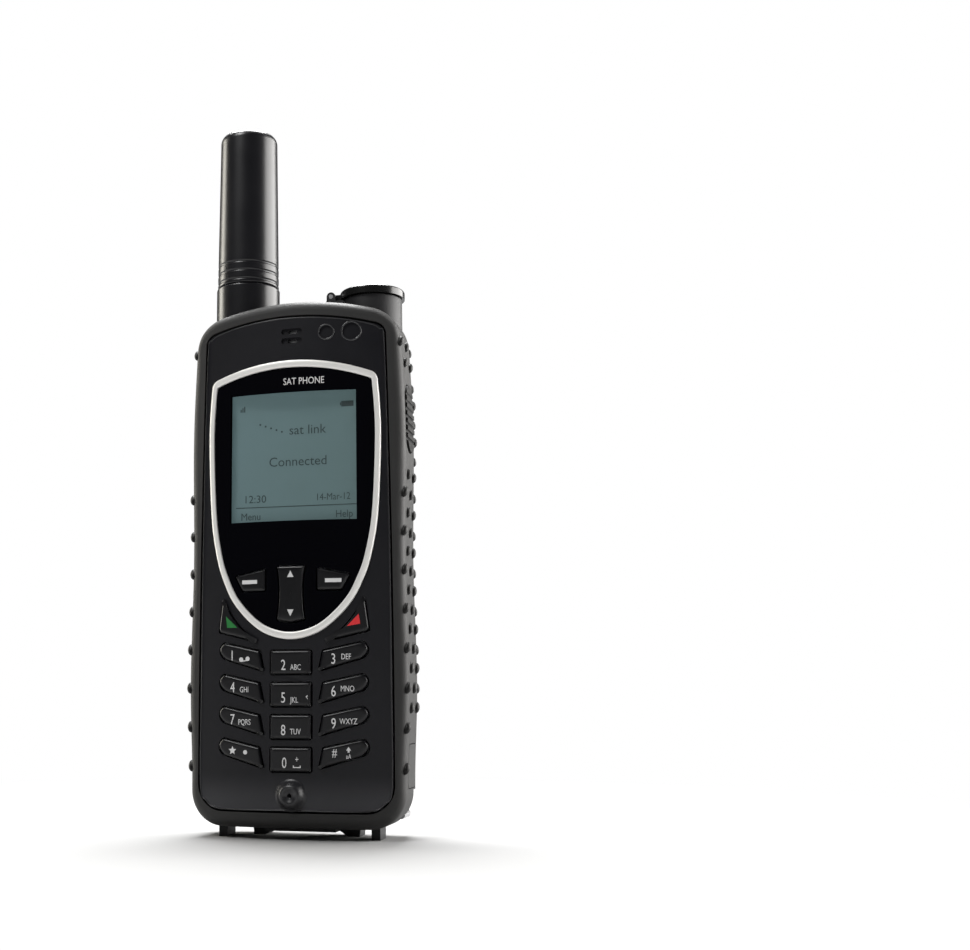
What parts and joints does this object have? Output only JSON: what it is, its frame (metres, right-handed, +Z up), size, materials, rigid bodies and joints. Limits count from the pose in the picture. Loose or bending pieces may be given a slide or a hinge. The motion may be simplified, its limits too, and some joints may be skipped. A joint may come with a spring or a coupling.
{
  "type": "satellite phone",
  "caption": "Rugged handheld satellite phone with keypad, framed display, side keys, pull-up antenna, flip-cover alert turret and removable battery.",
  "frame": {"origin": "centre of the footprint on the floor the phone stands on", "axes": "+Z up along the phone, keypad faces -Y, the phone's right side seen from the front is +X"},
  "size_m": [0.0604, 0.027, 0.1928],
  "materials": {
    "plate": "fine-textured near-black moulded plastic",
    "grip": "soft warm-grey-black overmoulded rubber",
    "nubs": "darker satin rubber",
    "housing": "textured black plastic",
    "steel": "brushed",
    "seal": "smooth",
    "silver_ring": "satin plated",
    "lens": "polished, black behind, with a clear window",
    "display": "grey-teal liquid crystal",
    "light_frame": "white diffuser frame",
    "gloss_black": "polished",
    "membrane": "silicone",
    "board": "green laminate",
    "module": "moulded",
    "gold": "gold plated",
    "antenna": "satin black plastic",
    "mast": "black anodised tube",
    "battery": "textured black plastic",
    "cells": "foil",
    "alert": "red",
    "latch": "ribbed",
    "keys": "semi-gloss black"
  },
  "bodies": {
    "phone": {"front_housing": "plate", "grip_overmould": "grip", "grip_nubs": "nubs", "rear_housing": "housing", "housing_screws": "steel", "case_seal": "seal", "trim_ring": "silver_ring", "display_lens": "lens", "display_panel": "display", "display_frame": "light_frame", "sensor_windows": "gloss_black", "earpiece": "steel", "ringer_speaker": "steel", "mic_boss": "gloss_black", "microphone": "steel", "keypad_membrane": "membrane", "main_board": "board", "radio_shield": "steel", "radio_module": "module", "sim_holder": "steel", "battery_terminals": "gold", "feet": "housing", "dock_connector": "housing", "dock_contacts": "gold", "data_socket": "steel", "volume_pin": "steel", "lanyard_bar": "steel", "antenna_collar": "antenna", "antenna_guide": "housing", "sos_turret": "housing", "hinge_pin": "steel"},
    "battery": {"battery_case": "battery", "battery_cells": "cells"},
    "antenna": {"antenna_sleeve": "antenna", "antenna_core": "module", "antenna_mast": "mast"},
    "key_1": {"key_1": "keys"},
    "key_2": {"key_2": "keys"},
    "key_3": {"key_3": "keys"},
    "key_4": {"key_4": "keys"},
    "key_5": {"key_5": "keys"},
    "key_6": {"key_6": "keys"},
    "key_7": {"key_7": "keys"},
    "key_8": {"key_8": "keys"},
    "key_9": {"key_9": "keys"},
    "key_star": {"key_star": "keys"},
    "key_0": {"key_0": "keys"},
    "key_hash": {"key_hash": "keys"},
    "call_key": {"call_key": "keys"},
    "end_key": {"end_key": "keys"},
    "softkey_left": {"softkey_left": "keys"},
    "softkey_right": {"softkey_right": "keys"},
    "nav_key": {"nav_key": "keys"},
    "side_key": {"side_key": "nubs"},
    "volume_rocker": {"volume_rocker": "nubs"},
    "port_flap": {"port_flap": "grip"},
    "sos_cover": {"sos_cover": "gloss_black"},
    "sos_button": {"sos_button": "alert"},
    "battery_latch": {"battery_latch": "latch"}
  },
  "joints": [
    {"name": "key_1_press", "type": "slide", "parent": "phone", "child": "key_1", "axis": [0, 1, 0], "range_m": [0, 0.0005], "stiffness_N_per_m": 1500},
    {"name": "key_2_press", "type": "slide", "parent": "phone", "child": "key_2", "axis": [0, 1, 0], "range_m": [0, 0.0005], "stiffness_N_per_m": 1500},
    {"name": "key_3_press", "type": "slide", "parent": "phone", "child": "key_3", "axis": [0, 1, 0], "range_m": [0, 0.0005], "stiffness_N_per_m": 1500},
    {"name": "key_4_press", "type": "slide", "parent": "phone", "child": "key_4", "axis": [0, 1, 0], "range_m": [0, 0.0005], "stiffness_N_per_m": 1500},
    {"name": "key_5_press", "type": "slide", "parent": "phone", "child": "key_5", "axis": [0, 1, 0], "range_m": [0, 0.0005], "stiffness_N_per_m": 1500},
    {"name": "key_6_press", "type": "slide", "parent": "phone", "child": "key_6", "axis": [0, 1, 0], "range_m": [0, 0.0005], "stiffness_N_per_m": 1500},
    {"name": "key_7_press", "type": "slide", "parent": "phone", "child": "key_7", "axis": [0, 1, 0], "range_m": [0, 0.0005], "stiffness_N_per_m": 1500},
    {"name": "key_8_press", "type": "slide", "parent": "phone", "child": "key_8", "axis": [0, 1, 0], "range_m": [0, 0.0005], "stiffness_N_per_m": 1500},
    {"name": "key_9_press", "type": "slide", "parent": "phone", "child": "key_9", "axis": [0, 1, 0], "range_m": [0, 0.0005], "stiffness_N_per_m": 1500},
    {"name": "key_star_press", "type": "slide", "parent": "phone", "child": "key_star", "axis": [0, 1, 0], "range_m": [0, 0.0005], "stiffness_N_per_m": 1500},
    {"name": "key_0_press", "type": "slide", "parent": "phone", "child": "key_0", "axis": [0, 1, 0], "range_m": [0, 0.0005], "stiffness_N_per_m": 1500},
    {"name": "key_hash_press", "type": "slide", "parent": "phone", "child": "key_hash", "axis": [0, 1, 0], "range_m": [0, 0.0005], "stiffness_N_per_m": 1500},
    {"name": "call_key_press", "type": "slide", "parent": "phone", "child": "call_key", "axis": [0, 1, 0], "range_m": [0, 0.0005], "stiffness_N_per_m": 1500},
    {"name": "end_key_press", "type": "slide", "parent": "phone", "child": "end_key", "axis": [0, 1, 0], "range_m": [0, 0.0005], "stiffness_N_per_m": 1500},
    {"name": "softkey_left_press", "type": "slide", "parent": "phone", "child": "softkey_left", "axis": [0, 1, 0], "range_m": [0, 0.0005], "stiffness_N_per_m": 1500},
    {"name": "softkey_right_press", "type": "slide", "parent": "phone", "child": "softkey_right", "axis": [0, 1, 0], "range_m": [0, 0.0005], "stiffness_N_per_m": 1500},
    {"name": "nav_key_rock", "type": "hinge", "parent": "phone", "child": "nav_key", "pos_m": [0, -0.0095, 0.062], "axis": [1, 0, 0], "range_deg": [-3, 3], "stiffness_Nm_per_rad": 0.2},
    {"name": "side_key_press", "type": "slide", "parent": "phone", "child": "side_key", "axis": [-1, 0, 0], "range_m": [0, 0.0006], "stiffness_N_per_m": 1500},
    {"name": "volume_rock", "type": "hinge", "parent": "phone", "child": "volume_rocker", "pos_m": [-0.028, 0, 0.1073], "axis": [0, 1, 0], "range_deg": [-3, 3], "stiffness_Nm_per_rad": 0.1},
    {"name": "port_flap_swing", "type": "hinge", "parent": "phone", "child": "port_flap", "pos_m": [0.0285, 0.0074, 0.0182], "axis": [0, 0, 1], "range_deg": [0, 95]},
    {"name": "sos_cover_lift", "type": "hinge", "parent": "phone", "child": "sos_cover", "pos_m": [0.0084, 0.0022, 0.1427], "axis": [0, -1, 0], "range_deg": [0, 110]},
    {"name": "sos_button_press", "type": "slide", "parent": "phone", "child": "sos_button", "axis": [0, 0, -1], "range_m": [0, 0.001], "stiffness_N_per_m": 1500},
    {"name": "battery_latch_slide", "type": "slide", "parent": "phone", "child": "battery_latch", "axis": [0, 0, 1], "range_m": [0, 0.003], "stiffness_N_per_m": 400},
    {"name": "battery_pull", "type": "slide", "parent": "phone", "child": "battery", "axis": [0, 1, 0], "range_m": [0, 0.015]},
    {"name": "antenna_raise", "type": "slide", "parent": "phone", "child": "antenna", "axis": [0, 0, 1], "range_m": [0, 0.036]}
  ]
}
